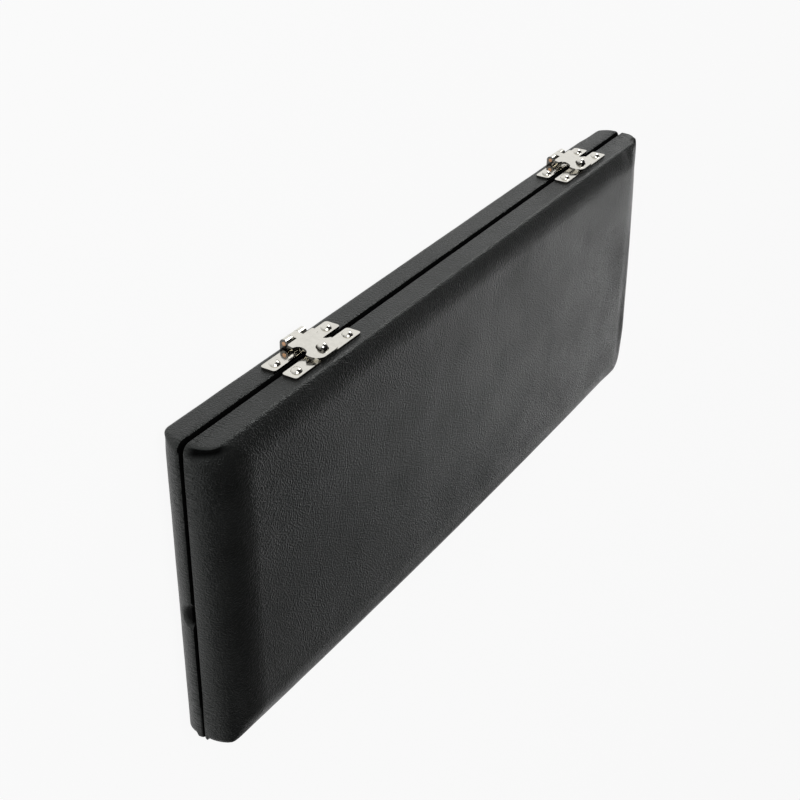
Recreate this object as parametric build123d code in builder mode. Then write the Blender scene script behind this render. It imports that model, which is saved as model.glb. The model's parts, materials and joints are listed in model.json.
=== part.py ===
"""Slim leather-covered oboe reed case: base and lid, two hasp latches, two butt hinges.

It lies on the base's flat face: X along the length, -Y the latch side, +Y the hinge side.
The origin is the centre of the base's underside. All sizes are in millimetres.
"""

from build123d import *
from math import asin, atan2, cos, degrees, hypot, sin
import os

os.makedirs("parts", exist_ok=True)

# Case: both halves have the same form, and meet at the seam
case_length = 250.0
case_width = 95.0
half_height = 10.9  # seam edge to flat face
rim_height = 7.8  # upright part of the long sides, seam edge to knee
knee_round = 1.4  # long side turning onto the face's bevel
bevel_inset = 9.0  # how far the flat face lies inside the long sides
end_start = 1.4  # depth at which an end begins to curve onto the face
end_reach = 15.0  # how far that curve runs in from the end
corner_radius = 2.5  # corners seen from above
inner_corner = 0.5
seam_round = 1.3  # covered edge beside the seam
seam_gap = 0.2  # between the closed halves

# Walls, from outside to inside
leather_thickness = 0.9
glue_gap = 0.05
wood_wall = 2.2
wood_face = 1.6
lining_thickness = 0.7
lining_drop = 0.4  # lining's edge below the seam edge

# Thumb notch in the base's rim, at the right-hand end
notch_width = 7.8
notch_reach = 3.6  # down from the seam edge
notch_recess = 1.5  # into the rim
notch_offset = 5.2  # from mid-width towards the hinges

# Pegs that the reeds are pushed onto, in a row along each half
peg_pitch = 11.2
row_margin = 1.0  # rail inside the ends of the flat floor
peg_length = 17.0
peg_root_radius = 2.1
peg_tip_radius = 1.5
peg_shank_radius = 1.2
peg_shank_length = 5.0
peg_height = 4.0  # axis above the lining
peg_fit = 0.02
rail_end = 2.2  # rail beyond the last peg's axis
rail_width = 7.0
rail_height = 6.0
rail_margin = 0.8  # rail inside the back edge of the flat floor
rail_round = 1.0
cushion_distance = 36.0  # rail to the cushion's middle, under a reed's winding
cushion_width = 12.0
cushion_height = 0.8
cushion_round = 0.6

# Latches: sheet metal plates, a hasp on a pin, a ball stud that it drops over
latch_from_end = {"left": 41.5, "right": 54.5}  # latch middle to the end of the case
plate_length = 30.0
plate_width = 4.8
plate_gap = 2.1  # between the two plates, across the seam
plate_corner = 0.9
sheet = 0.7
latch_pin_radius = 0.6
pin_clearance = 0.05
latch_pin_height = 2.4  # axis above the rim
neck_width = 2.9
knuckle_length = 2.8
knuckle_gap = 0.12
curl_slit = 0.25  # where a rolled knuckle closes on itself
curl_angle = 30.0  # that slit's place, from the sheet round the pin
hasp_length = 12.0  # pin axis to free end
shoulder_start = 1.9
hasp_width = 11.5
notch_radius = 2.0  # half-round notches in the hasp's sides
notch_middle = 5.8
lobe_round = 3.5
shoulder_round = 0.5  # shoulders and the mouths of the notches
hasp_rest = 0.15  # hasp's end above the strike plate
ball_radius = 1.5
ball_height = 2.2  # ball's centre above the rim
ball_neck_radius = 0.9
ball_clearance = 0.3
neck_fit = 0.02

# Domed nails that hold the latch plates
nail_spacing = 23.4
nail_head_radius = 1.6
nail_head_height = 1.1
nail_shank_radius = 0.55
nail_shank_length = 3.2
nail_clearance = 0.05

# Butt hinges on the back of the rim, with low-headed nails
hinge_from_end = 47.0  # hinge middle to the end of the case
hinge_length = 20.0
hinge_sheet = 0.6
hinge_reach = 6.4  # seam to the leaf's far edge
hinge_corner = 0.8
hinge_pin_radius = 0.55
hinge_offset = 1.0  # pin axis outside the rim
hinge_neck = 0.75  # leaf's edge at its own knuckle, from the seam
hinge_relief = 0.15  # between a leaf and the other leaf's knuckle
hinge_middle_knuckle = 6.5
hinge_nail_spacing = 12.0
hinge_nail_row = 4.2  # nails' distance from the seam
hinge_nail_head_radius = 1.3
hinge_nail_head_height = 0.3

# Worked-out sizes
bevel_height = half_height - rim_height
bevel_radius = (bevel_inset**2 + bevel_height**2) / (2 * bevel_height)
seam_height = half_height + seam_gap / 2
front = -case_width / 2
back = case_width / 2
BASE, LID = -1, 1
half_names = {BASE: "base", LID: "lid"}
tolerance = 0.001
end_names = {-1: "left", 1: "right"}
skin = leather_thickness + glue_gap
shell_wall = skin + wood_wall
shell_face = skin + wood_face
lining_wall = shell_wall + glue_gap
lining_face = shell_face + glue_gap
cavity_wall = lining_wall + lining_thickness
cavity_face = lining_face + lining_thickness
cavity_depth = half_height - cavity_face
plate_middle = (plate_gap + plate_width) / 2
rail_middle = case_width / 2 - bevel_inset - rail_margin - rail_width / 2
peg_start = rail_middle - rail_width / 2
row_length = case_length - 2 * (end_reach + row_margin + rail_end)
peg_count = int(row_length / peg_pitch) + 1
rail_length = (peg_count - 1) * peg_pitch + 2 * rail_end
latch_barrel_radius = latch_pin_radius + pin_clearance + sheet
barrel_length = neck_width + 2 * (knuckle_gap + knuckle_length)
latch_pin_below_seam = plate_gap / 2 + plate_width
hinge_barrel_radius = hinge_pin_radius + pin_clearance + hinge_sheet


def save(builder, name):
    """Label a finished piece and write its file."""
    builder.part.label = name
    export_step(builder.part, f"parts/{name}.step")


def level(side, depth):
    """Height of what lies that deep in a half, from its seam edge towards its face."""
    return seam_height + side * (seam_gap / 2 + depth)


def end_profile(wall, bottom, start):
    """Long section (X, depth): upright at the seam, then a quarter ellipse onto the face."""
    end = case_length / 2 - wall
    flat = case_length / 2 - end_reach
    axes = (end - flat, bottom - end_start)
    with BuildSketch() as section:
        with BuildLine():
            right = EllipticalCenterArc((flat, end_start), *axes, start_angle=0, arc_size=90)
            left = EllipticalCenterArc((-flat, end_start), *axes, start_angle=90, arc_size=90)
            Line(right @ 1, left @ 0)
            Polyline(left @ 1, (-end, start), (end, start), right @ 0)
        make_face()
    return section.sketch


def side_profile(wall, bottom, start, knee):
    """Cross section (Y, depth): an upright side, a knee, and an arc that runs out on the face."""
    side = case_width / 2 - wall
    flat = case_width / 2 - bevel_inset
    radius = bevel_radius - (half_height - bottom)
    turn = degrees(asin((side - flat) / radius))
    with BuildSketch() as section:
        with BuildLine():
            right = CenterArc((flat, bottom - radius), radius, 90 - turn, turn)
            left = CenterArc((-flat, bottom - radius), radius, 90, turn)
            Line(right @ 1, left @ 0)
            Polyline(left @ 1, (-side, start), (side, start), right @ 0)
        make_face()
        if knee > 0:
            knee_depth = (right @ 0).Y
            knees = section.vertices().filter_by(lambda v: abs(v.Y - knee_depth) < tolerance)
            fillet(knees, knee)
    return section.sketch


def half_form(side, wall, floor, start, edge=0, knee=0):
    """The form of a half, drawn in by wall all round and by floor at its face."""
    bottom = half_height - floor
    length, width = case_length - 2 * wall, case_width - 2 * wall
    seam = level(side, 0)
    along = Plane((0, side * width / 2, seam), x_dir=(1, 0, 0), z_dir=(0, -side, 0))
    across = Plane((-length / 2, 0, seam), x_dir=(0, side, 0), z_dir=(1, 0, 0))
    with BuildPart() as form:
        with BuildSketch(along):
            add(end_profile(wall, bottom, start))
        extrude(amount=width)
        with BuildSketch(across):
            add(side_profile(wall, bottom, start, knee))
        extrude(amount=length, mode=Mode.INTERSECT)
        with BuildSketch(Plane.XY.offset(seam)):
            RectangleRounded(length, width, max(corner_radius - wall, inner_corner))
        extrude(amount=side * half_height, mode=Mode.INTERSECT)
        if edge > 0:
            seam_face = form.faces().filter_by(Axis.Z).sort_by(Axis.Z)[0 if side == LID else -1]
            fillet(seam_face.edges(), edge)
    return form.part


def notch_pocket(grow):
    """Half-round thumb notch at the right-hand end, made larger all round by grow."""
    outside = 1.0
    with BuildPart() as pocket:
        with BuildSketch(Plane.YZ.offset(case_length / 2 + outside)):
            with Locations((notch_offset, level(BASE, 0))):
                Ellipse(notch_width / 2 + grow, notch_reach + grow)
        extrude(amount=-(outside + notch_recess + grow))
    return pocket.part


def wall_spots(side, wall_y, middles, spacing, row):
    """Places on the rim, facing outwards: a pair about each middle, row from the seam."""
    outward = 1 if wall_y > 0 else -1
    height = seam_height + side * row
    return [
        Plane((x + end * spacing / 2, wall_y, height), x_dir=(1, 0, 0), z_dir=(0, outward, 0)).location
        for x in middles
        for end in (-1, 1)
    ]


latch_middles = {
    name: end * (case_length / 2 - latch_from_end[name]) for end, name in end_names.items()
}
hinge_middles = {name: end * (case_length / 2 - hinge_from_end) for end, name in end_names.items()}
latch_spots = {
    side: wall_spots(side, front, latch_middles.values(), nail_spacing, plate_middle)
    for side in (BASE, LID)
}
hinge_spots = {
    side: wall_spots(side, back, hinge_middles.values(), hinge_nail_spacing, hinge_nail_row)
    for side in (BASE, LID)
}


def cut_nail_bores(spots, depth):
    """Bores for nails, cut inwards from the rim into what the running block holds."""
    with Locations(*spots):
        Cylinder(
            nail_shank_radius + nail_clearance,
            depth,
            align=(Align.CENTER, Align.CENTER, Align.MAX),
            mode=Mode.SUBTRACT,
        )


def cut_rim_bores(side):
    """All the nail bores of a half: the latch plates' in front and the hinge leaves' behind."""
    cut_nail_bores(latch_spots[side], nail_shank_length - sheet + nail_clearance)
    cut_nail_bores(hinge_spots[side], nail_shank_length - hinge_sheet + nail_clearance)


# Leather covers, wood shells and linings
for side, half in half_names.items():
    rounds = (seam_round, knee_round)
    inner_rounds = tuple(radius - leather_thickness for radius in rounds)
    cover_form = half_form(side, 0, 0, 0, *rounds)
    under_cover = half_form(
        side, leather_thickness, leather_thickness, leather_thickness, *inner_rounds
    )
    shell_form = half_form(side, skin, skin, skin, *inner_rounds)
    shell_cavity = half_form(side, shell_wall, shell_face, 0)
    lining_form = half_form(side, lining_wall, lining_face, lining_drop)
    lining_cavity = half_form(side, cavity_wall, cavity_face, 0)
    notch_pad = cover_form & notch_pocket(leather_thickness)

    with BuildPart() as leather:
        add(cover_form)
        add(under_cover, mode=Mode.SUBTRACT)
        add(shell_cavity, mode=Mode.SUBTRACT)
        if side == BASE:
            add(notch_pad)
            add(notch_pocket(0), mode=Mode.SUBTRACT)
        cut_rim_bores(side)
    save(leather, f"{half}_leather")

    with BuildPart() as shell:
        add(shell_form)
        add(shell_cavity, mode=Mode.SUBTRACT)
        if side == BASE:
            add(notch_pocket(skin), mode=Mode.SUBTRACT)
        cut_rim_bores(side)
    save(shell, f"{half}_shell")

    with BuildPart() as lining:
        add(lining_form)
        add(lining_cavity, mode=Mode.SUBTRACT)
    save(lining, f"{half}_lining")


# Peg rails, reed pegs and cushions
with BuildPart() as peg:
    with BuildSketch(Plane.XZ):
        with BuildLine():
            Polyline(
                (0, -peg_shank_length),
                (peg_shank_radius, -peg_shank_length),
                (peg_shank_radius, 0),
                (peg_root_radius, 0),
                (peg_tip_radius, peg_length),
                (0, peg_length),
                close=True,
            )
        make_face()
    revolve(axis=Axis.Z)
    fillet(peg.edges().sort_by(Axis.Z)[-1], peg_tip_radius / 2)

for side, half in half_names.items():
    floor = level(side, cavity_depth)
    inward = -side
    peg_plane = Plane((0, peg_start, floor + inward * peg_height), x_dir=(1, 0, 0), z_dir=(0, -1, 0))

    with BuildPart() as rail:
        with BuildSketch(Plane.XY.offset(floor)):
            with Locations((0, rail_middle)):
                Rectangle(rail_length, rail_width)
        extrude(amount=inward * rail_height)
        crest = rail.faces().filter_by(Axis.Z).sort_by(Axis.Z)[0 if side == LID else -1]
        fillet(crest.edges(), rail_round)
        with Locations(peg_plane):
            with GridLocations(peg_pitch, 1, peg_count, 1):
                Cylinder(
                    peg_shank_radius + peg_fit,
                    peg_shank_length + peg_fit,
                    align=(Align.CENTER, Align.CENTER, Align.MAX),
                    mode=Mode.SUBTRACT,
                )
    save(rail, f"{half}_peg_rail")

    with BuildPart() as pegs:
        with Locations(peg_plane):
            with GridLocations(peg_pitch, 1, peg_count, 1):
                add(peg.part)
    save(pegs, f"{half}_reed_pegs")

    with BuildPart() as cushion:
        with BuildSketch(Plane.XY.offset(floor)):
            with Locations((0, peg_start - cushion_distance)):
                Rectangle(rail_length, cushion_width)
        extrude(amount=inward * cushion_height)
        crown = cushion.faces().filter_by(Axis.Z).sort_by(Axis.Z)[0 if side == LID else -1]
        fillet(crown.edges(), cushion_round)
    save(cushion, f"{half}_reed_cushion")


# Sections across the latch and hinge knuckles, drawn as (Y, Z)
def along_x(start, length, section):
    """Extrude a section along X from start."""
    with BuildPart() as bar:
        with BuildSketch(Plane.YZ.offset(start)):
            add(section)
        extrude(amount=length)
    return bar.part


def rolled_ring(centre, slit_direction, foot=()):
    """Section of a knuckle rolled from the latch sheet, with its foot and closing slit."""
    with BuildSketch() as ring:
        with Locations(centre):
            Circle(latch_barrel_radius)
        if foot:
            with BuildLine():
                Polyline(*foot, close=True)
            make_face()
        with Locations(centre):
            Circle(latch_pin_radius + pin_clearance, mode=Mode.SUBTRACT)
        with Locations(Location((*centre, 0), (0, 0, slit_direction))):
            Rectangle(
                2 * latch_barrel_radius,
                curl_slit,
                align=(Align.MIN, Align.CENTER),
                mode=Mode.SUBTRACT,
            )
    return ring.sketch


latch_pin = (front - latch_pin_height, seam_height - latch_pin_below_seam)
tab_outside = latch_pin[1] - latch_barrel_radius
tab_inside = tab_outside + sheet
plate_foot = (
    (front, latch_pin[1]),
    (front, tab_outside),
    (latch_pin[0], tab_outside),
    (latch_pin[0], tab_inside),
    (front - sheet, tab_inside),
    (front - sheet, latch_pin[1]),
)
plate_knuckle = rolled_ring(latch_pin, curl_angle, plate_foot)

# The hasp lies on the rolled barrel and slopes down until its end is just clear of the strike
curl_rise = latch_barrel_radius - sheet
slope_fall = latch_pin_height - sheet - hasp_rest
slope = asin(slope_fall / hypot(hasp_length, curl_rise)) + atan2(curl_rise, hasp_length)
hasp_curl = rolled_ring(latch_pin, 90 - degrees(slope) - curl_angle)
stud_rise = ball_height - latch_pin_height
stud_reach = latch_pin_below_seam + plate_middle
hole_middle = stud_reach * cos(slope) - stud_rise * sin(slope)


def plate_blank(middle, height):
    """A latch plate that lies flat on the front of the rim."""
    with BuildPart() as blank:
        with BuildSketch(Plane.XZ.offset(-front)):
            with Locations((middle, height)):
                RectangleRounded(plate_length, plate_width, plate_corner)
        extrude(amount=sheet)
    return blank.part


# Latches
for end_name, middle in latch_middles.items():
    barrel_start = middle - barrel_length / 2
    hasp_blank = plate_blank(middle, seam_height - plate_middle)
    strike_blank = plate_blank(middle, seam_height + plate_middle)
    left_knuckle = along_x(barrel_start, knuckle_length, plate_knuckle)
    right_knuckle = along_x(barrel_start + barrel_length - knuckle_length, knuckle_length, plate_knuckle)
    neck_curl = along_x(middle - neck_width / 2, neck_width, hasp_curl)

    with BuildPart() as hasp_plate:
        add((hasp_blank, left_knuckle, right_knuckle))
        with Locations(*latch_spots[BASE]):
            Cylinder(nail_shank_radius + nail_clearance, 3 * sheet, mode=Mode.SUBTRACT)
    save(hasp_plate, f"{end_name}_hasp_plate")

    with BuildPart() as hasp_pin:
        with BuildSketch(Plane.YZ.offset(barrel_start)):
            with Locations(latch_pin):
                Circle(latch_pin_radius)
        extrude(amount=barrel_length)
    save(hasp_pin, f"{end_name}_hasp_pin")

    hasp_plane = Plane(
        (middle, *latch_pin), x_dir=(1, 0, 0), z_dir=(0, -cos(slope), sin(slope))
    )
    with BuildPart() as hasp:
        with BuildSketch(hasp_plane.offset(curl_rise)):
            with Locations((0, (shoulder_start + hasp_length) / 2)):
                Rectangle(hasp_width, hasp_length - shoulder_start)
            fillet(vertices().group_by(Axis.Y)[-1], lobe_round)
            fillet(vertices().group_by(Axis.Y)[0], shoulder_round)
            with Locations((-hasp_width / 2, notch_middle), (hasp_width / 2, notch_middle)):
                Circle(notch_radius, mode=Mode.SUBTRACT)
            mouths = vertices().filter_by(
                lambda v: abs(abs(v.Y - notch_middle) - notch_radius) < tolerance
            )
            fillet(mouths, shoulder_round)
            with Locations((0, shoulder_start / 2)):
                Rectangle(neck_width, shoulder_start)
            with Locations((0, hole_middle)):
                Circle(ball_radius + ball_clearance, mode=Mode.SUBTRACT)
        extrude(amount=sheet)
        add(neck_curl)
    save(hasp, f"{end_name}_hasp")

    with BuildPart() as strike_plate:
        add(strike_blank)
        with Locations(*latch_spots[LID]):
            Cylinder(nail_shank_radius + nail_clearance, 3 * sheet, mode=Mode.SUBTRACT)
        with BuildSketch(Plane.XZ.offset(-front)):
            with Locations((middle, seam_height + plate_middle)):
                Circle(ball_neck_radius + neck_fit)
        extrude(amount=sheet, mode=Mode.SUBTRACT)
    save(strike_plate, f"{end_name}_strike_plate")

    with BuildPart() as ball_stud:
        with BuildSketch(Plane.XZ.offset(-front)):
            with Locations((middle, seam_height + plate_middle)):
                Circle(ball_neck_radius)
        extrude(amount=ball_height)
        with Locations((middle, front - ball_height, seam_height + plate_middle)):
            Sphere(ball_radius)
    save(ball_stud, f"{end_name}_ball_stud")


# Hinges
hinge_pin = (back + hinge_offset, seam_height)
leaf_start = hinge_barrel_radius + hinge_relief
side_knuckle = (hinge_length - hinge_middle_knuckle) / 2 - knuckle_gap


def hinge_leaf(middle, side, knuckles):
    """A leaf on the back of one half, with the knuckles that lie at (start, length)."""
    with BuildSketch() as section:
        with Locations(hinge_pin):
            Circle(hinge_barrel_radius)
        with Locations((back, seam_height + side * hinge_neck)):
            Rectangle(
                hinge_sheet,
                hinge_reach / 2,
                align=(Align.MIN, Align.MIN if side == LID else Align.MAX),
            )
        with Locations(hinge_pin):
            Circle(hinge_pin_radius + pin_clearance, mode=Mode.SUBTRACT)
    rolls = [along_x(start, length, section.sketch) for start, length in knuckles]
    with BuildPart() as leaf:
        with BuildSketch(Plane.XZ.offset(-back)):
            with Locations((middle, seam_height + side * (leaf_start + hinge_reach) / 2)):
                RectangleRounded(hinge_length, hinge_reach - leaf_start, hinge_corner)
        extrude(amount=-hinge_sheet)
        add(rolls)
        with Locations(*hinge_spots[side]):
            Cylinder(nail_shank_radius + nail_clearance, 3 * hinge_sheet, mode=Mode.SUBTRACT)
    return leaf


for end_name, middle in hinge_middles.items():
    first = middle - hinge_length / 2
    base_knuckles = (
        (first, side_knuckle),
        (first + hinge_length - side_knuckle, side_knuckle),
    )
    lid_knuckles = ((middle - hinge_middle_knuckle / 2, hinge_middle_knuckle),)
    save(hinge_leaf(middle, BASE, base_knuckles), f"{end_name}_hinge_base_leaf")
    save(hinge_leaf(middle, LID, lid_knuckles), f"{end_name}_hinge_lid_leaf")

    with BuildPart() as pin:
        with BuildSketch(Plane.YZ.offset(first)):
            with Locations(hinge_pin):
                Circle(hinge_pin_radius)
        extrude(amount=hinge_length)
    save(pin, f"{end_name}_hinge_pin")


# Nails
def nail(head_radius, head_height):
    """One nail along Z: a domed head that seats at height 0, and a plain shank below it."""
    dome_radius = (head_radius**2 + head_height**2) / (2 * head_height)
    dome_start = degrees(atan2(dome_radius - head_height, head_radius))
    with BuildPart() as one:
        with BuildSketch(Plane.XZ):
            with BuildLine():
                CenterArc(
                    (0, head_height - dome_radius), dome_radius, dome_start, 90 - dome_start
                )
                Polyline(
                    (0, head_height),
                    (0, -nail_shank_length),
                    (nail_shank_radius, -nail_shank_length),
                    (nail_shank_radius, 0),
                    (head_radius, 0),
                )
            make_face()
        revolve(axis=Axis.Z)
    return one.part


domed_nail = nail(nail_head_radius, nail_head_height)
flat_nail = nail(hinge_nail_head_radius, hinge_nail_head_height)
nail_sets = {
    "hasp_plate_nails": (domed_nail, latch_spots[BASE], sheet),
    "strike_plate_nails": (domed_nail, latch_spots[LID], sheet),
    "hinge_base_nails": (flat_nail, hinge_spots[BASE], hinge_sheet),
    "hinge_lid_nails": (flat_nail, hinge_spots[LID], hinge_sheet),
}
for name, (one_nail, spots, plate) in nail_sets.items():
    with BuildPart() as nails:
        with Locations(*spots):
            with Locations((0, 0, plate)):
                add(one_nail)
    save(nails, name)
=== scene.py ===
"""Looks of a slim leather-covered oboe reed case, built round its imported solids.

Sizes are in millimetres, as in the part's source, and become metres where a mesh or a place
is made.
"""

import json
from math import cos, pi, sin, sqrt

import bmesh
import bpy
import numpy as np
from mathutils import Matrix, Vector, noise


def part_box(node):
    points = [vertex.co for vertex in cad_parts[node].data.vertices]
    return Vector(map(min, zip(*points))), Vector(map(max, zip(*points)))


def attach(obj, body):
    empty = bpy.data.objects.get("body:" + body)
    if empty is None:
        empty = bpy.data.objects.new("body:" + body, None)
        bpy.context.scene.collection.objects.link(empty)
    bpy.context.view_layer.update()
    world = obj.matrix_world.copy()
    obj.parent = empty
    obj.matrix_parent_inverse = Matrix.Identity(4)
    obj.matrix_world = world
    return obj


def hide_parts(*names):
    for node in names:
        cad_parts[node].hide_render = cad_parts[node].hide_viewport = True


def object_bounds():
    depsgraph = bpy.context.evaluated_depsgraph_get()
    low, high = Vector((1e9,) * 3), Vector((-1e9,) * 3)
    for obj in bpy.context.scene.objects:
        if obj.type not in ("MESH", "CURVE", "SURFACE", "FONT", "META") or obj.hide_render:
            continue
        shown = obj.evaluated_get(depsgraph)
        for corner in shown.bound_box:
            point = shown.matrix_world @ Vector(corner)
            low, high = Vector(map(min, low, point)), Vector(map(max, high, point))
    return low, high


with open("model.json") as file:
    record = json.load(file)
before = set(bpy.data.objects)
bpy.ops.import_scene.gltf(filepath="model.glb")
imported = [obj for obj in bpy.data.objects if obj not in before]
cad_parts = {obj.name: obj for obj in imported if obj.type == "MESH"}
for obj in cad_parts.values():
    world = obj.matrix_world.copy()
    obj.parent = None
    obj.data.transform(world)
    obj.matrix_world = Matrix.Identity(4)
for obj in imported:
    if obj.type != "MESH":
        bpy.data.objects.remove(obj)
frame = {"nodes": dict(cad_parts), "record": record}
cad_low, cad_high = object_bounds()

bpy.context.scene.view_settings.view_transform = "Standard"

MM = 0.001

# Sizes of the case, as in the part's source
CASE_LENGTH, CASE_WIDTH = 250.0, 95.0
HALF_HEIGHT, RIM_HEIGHT, SEAM_GAP = 10.9, 7.8, 0.2
BEVEL_INSET, END_START, END_REACH = 9.0, 1.4, 15.0
KNEE_ROUND, SEAM_ROUND = 1.4, 1.3
CORNER_RADIUS, INNER_CORNER = 2.5, 0.5
LEATHER, GLUE, WOOD_WALL, WOOD_FACE = 0.9, 0.05, 2.2, 1.6
LINING, LINING_DROP = 0.7, 0.4
NOTCH_WIDTH, NOTCH_REACH, NOTCH_RECESS, NOTCH_OFFSET = 7.8, 3.6, 1.5, 5.2
PEG_PITCH, PEG_COUNT = 11.2, 20
PLATE_LENGTH, PLATE_FAR_EDGE = 30.0, 5.85
HINGE_LENGTH, HINGE_REACH = 20.0, 6.4

BEVEL_HEIGHT = HALF_HEIGHT - RIM_HEIGHT
BEVEL_RADIUS = (BEVEL_INSET**2 + BEVEL_HEIGHT**2) / (2 * BEVEL_HEIGHT)
SEAM_HEIGHT = HALF_HEIGHT + SEAM_GAP / 2
SHELL_WALL = LEATHER + GLUE + WOOD_WALL
SHELL_FACE = LEATHER + GLUE + WOOD_FACE
NOTCH_END = CASE_LENGTH / 2 - 5  # the x beyond which the end's wall has the notch
BASE, LID = -1, 1
HALVES = {"base": BASE, "lid": LID}


def middle_of(node):
    """Middle of a node's box, in millimetres."""
    low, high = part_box(node)
    return (low + high) / 2 / MM


LATCH_MIDDLES = [middle_of(f"{end}_hasp_plate").x for end in ("left", "right")]
HINGE_MIDDLES = [middle_of(f"{end}_hinge_pin").x for end in ("left", "right")]


def placed(name, data):
    """A new object in the scene."""
    item = bpy.data.objects.new(name, data)
    bpy.context.scene.collection.objects.link(item)
    return item


# ---- camera ----
CAMERA_RIGHT = Vector((-0.530992, -0.008484, 0.847322))
CAMERA_DOWN = Vector((0.434627, 0.855801, 0.280819))
CAMERA_AHEAD = Vector((-0.727372, 0.517222, -0.450779))
CAMERA_PLACE = Vector((340.44, -233.38, 205.83))
FOCAL_PIXELS = 1440.06
PICTURE_PIXELS = 800
SENSOR_MM = 36.0
CLIP_START, CLIP_END = 0.02, 60.0

camera_data = bpy.data.cameras.new("photo_camera")
camera = placed("photo_camera", camera_data)
bpy.context.scene.camera = camera
turn = Matrix((CAMERA_RIGHT, -CAMERA_DOWN, -CAMERA_AHEAD)).transposed()
camera.matrix_world = Matrix.Translation(CAMERA_PLACE * MM) @ turn.to_4x4()
camera_data.sensor_width = SENSOR_MM
camera_data.lens = FOCAL_PIXELS / PICTURE_PIXELS * SENSOR_MM
camera_data.clip_start, camera_data.clip_end = CLIP_START, CLIP_END


# ---- materials ----
class Nodes:
    """A material with a Principled shader, and short ways to add nodes to it."""

    def __init__(self, name, **sockets):
        self.material = bpy.data.materials.new(name)
        self.material.use_nodes = True
        self.tree = self.material.node_tree
        self.shader = self.tree.nodes["Principled BSDF"]
        for key, value in sockets.items():
            self.shader.inputs[key.replace("_", " ")].default_value = value
        self.place = self.add("ShaderNodeTexCoord").outputs["Object"]

    def add(self, kind, links=None, sockets=None, **settings):
        node = self.tree.nodes.new(kind)
        for key, value in settings.items():
            setattr(node, key, value)
        for key, value in (sockets or {}).items():
            node.inputs[key].default_value = value
        for key, output in (links or {}).items():
            self.tree.links.new(output, node.inputs[key])
        return node

    def to(self, socket, value):
        """Link a value to one of the shader's sockets."""
        self.tree.links.new(value, self.shader.inputs[socket])

    def stretch(self, scale, turned=(0, 0, 0)):
        """Object coordinates turned, and scaled by so much along each axis."""
        sockets = {"Scale": scale, "Rotation": turned}
        return self.add("ShaderNodeMapping", {"Vector": self.place}, sockets).outputs["Vector"]

    def axes(self):
        """Object coordinates, each in millimetres."""
        split = self.add("ShaderNodeSeparateXYZ", {"Vector": self.place})
        return [self.times(split.outputs[axis], 1 / MM) for axis in "XYZ"]

    def noise(self, per_mm, detail=3.0, rough=0.5, place=None, distort=0.0):
        node = self.add(
            "ShaderNodeTexNoise",
            {"Vector": place or self.place},
            {"Scale": per_mm / MM, "Detail": detail, "Roughness": rough, "Distortion": distort},
        )
        return node.outputs["Fac"]

    def cells(self, per_mm, feature, place=None):
        node = self.add(
            "ShaderNodeTexVoronoi",
            {"Vector": place or self.place},
            {"Scale": per_mm / MM},
            feature=feature,
        )
        return node.outputs["Distance"]

    def spread(self, value, low, high, out_low=0.0, out_high=1.0, kind="LINEAR"):
        """Map a value from one range to another, held inside it."""
        node = self.add(
            "ShaderNodeMapRange",
            {"Value": value},
            {"From Min": low, "From Max": high, "To Min": out_low, "To Max": out_high},
            interpolation_type=kind,
        )
        return node.outputs["Result"]

    def near(self, value, full, none):
        """1 where a value is up to full, falling smoothly to 0 at none."""
        return self.spread(value, full, none, 1.0, 0.0, "SMOOTHSTEP")

    def beyond(self, value, none, full):
        """0 where a value is up to none, rising smoothly to 1 at full."""
        return self.spread(value, none, full, kind="SMOOTHSTEP")

    def maths(self, first, second=0.0, kind="ADD"):
        node = self.add("ShaderNodeMath", operation=kind)
        for slot, value in enumerate((first, second)):
            if isinstance(value, (int, float)):
                node.inputs[slot].default_value = value
            else:
                self.tree.links.new(value, node.inputs[slot])
        return node.outputs["Value"]

    def size_of(self, value):
        return self.maths(value, kind="ABSOLUTE")

    def times(self, *values):
        product = values[0]
        for value in values[1:]:
            product = self.maths(product, value, "MULTIPLY")
        return product

    def at_least(self, share, least):
        """A share of 0 to 1, squeezed into least to 1."""
        return self.maths(self.times(share, 1 - least), least)

    def colours(self, value, stops):
        node = self.add("ShaderNodeValToRGB", {"Fac": value})
        ramp = node.color_ramp
        while len(ramp.elements) < len(stops):
            ramp.elements.new(0.5)
        for element, (at, colour) in zip(ramp.elements, stops):
            element.position, element.color = at, (*colour, 1.0)
        return node.outputs["Color"]

    def bumps(self, *layers):
        """Bump layers (height, depth in mm, strength), finest last."""
        normal = None
        for height, depth, strength in layers:
            links = {"Height": height}
            if normal is not None:
                links["Normal"] = normal
            sockets = {"Distance": depth * MM, "Strength": strength}
            normal = self.add("ShaderNodeBump", links, sockets).outputs["Normal"]
        self.to("Normal", normal)


# Where shade is painted into the hide, which is also rougher there: each edge fades between its
# two distances, in millimetres
GROOVE_BOTTOM, GROOVE_TOP = (-0.9, -0.5), (0.25, 0.5)  # above the seam
CREASE_OUTER, CREASE_INNER = (0.3, 0.55), (1.5, 3.6)  # in from the latch side
CREASE_BOTTOM, CREASE_TOP = (0.8, 4.0), (7.5, 10.0)  # above the seam
CREASE_REACH = (5.0, 8.0)  # in from an end
NOTCH_SHADE_TOP = (0.0, 0.2)  # above the seam
NOTCH_SHADE = (0.55, 1.1)  # as shares of the notch's half width and reach
PAINTED_SHADE_DARKENING = 1.5

# Where the hide is pleated
PLEATED_FROM_CORNER, PLEATED_FROM_SEAM = (8.0, 30.0), (0.8, 4.5)
PLEATS_BETWEEN_CORNERS, PLEATS_BETWEEN_PATCHES = 0.15, 0.3

CALF_GLOSS = 0.4
CALF_COLOURS = (
    (0.0, (0.0008, 0.0008, 0.0008)),
    (0.3, (0.0035, 0.0039, 0.0038)),
    (1.0, (0.0085, 0.0092, 0.0090)),
)
# Specular tints, white to almost black: the black end is painted shade under the lid's corners and
# in the notch
CREASE_SHADE_SPECULAR_TINTS = ((0.0, (0.96, 1.0, 0.97)), (1.0, (0.02, 0.02, 0.02)))
CALF_ROUGHNESS = (0.28, 0.95)

# Leather down in the seam's groove: painted shade, almost black and with almost no reflection
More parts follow.
